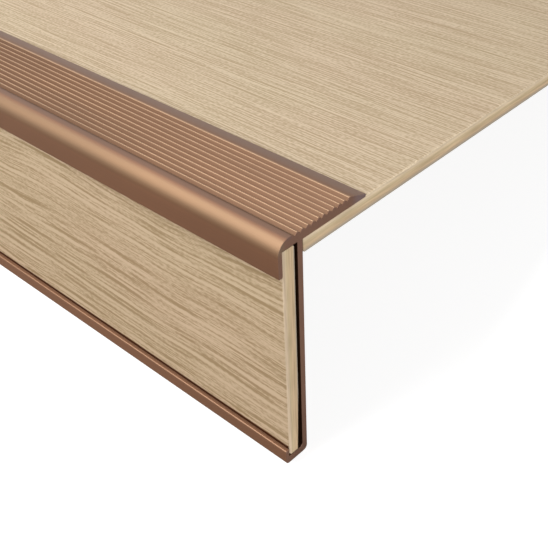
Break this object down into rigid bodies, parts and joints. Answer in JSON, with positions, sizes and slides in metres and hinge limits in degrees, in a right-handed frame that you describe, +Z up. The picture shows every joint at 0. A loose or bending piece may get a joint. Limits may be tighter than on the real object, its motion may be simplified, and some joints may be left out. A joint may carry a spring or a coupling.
{
  "type": "stair tread",
  "caption": "Stair tread with a ribbed aluminium nosing whose leg and foot hold a riser plank, and a wood-look tread plank under its rear flange.",
  "frame": {"origin": "bottom centre of the part's box, on the floor, with the foot and the rear lower edge of the tread plank both resting there", "axes": "+X along the tread, +Y from the nose to the back, +Z up; the tread plank slopes down to the back by 15.7 degrees"},
  "size_m": [1, 0.323, 0.0916],
  "materials": {
    "anodised_aluminium": "bronze anodised, satin",
    "tread_oak": "light oak print under a matt wear layer, fine grain along the tread",
    "riser_oak": "oak print under a matt wear layer, wider wavy grain along the riser"
  },
  "bodies": {
    "root": {"nosing_profile": "anodised_aluminium", "tread_plank": "tread_oak", "riser_plank": "riser_oak"}
  },
  "joints": []
}
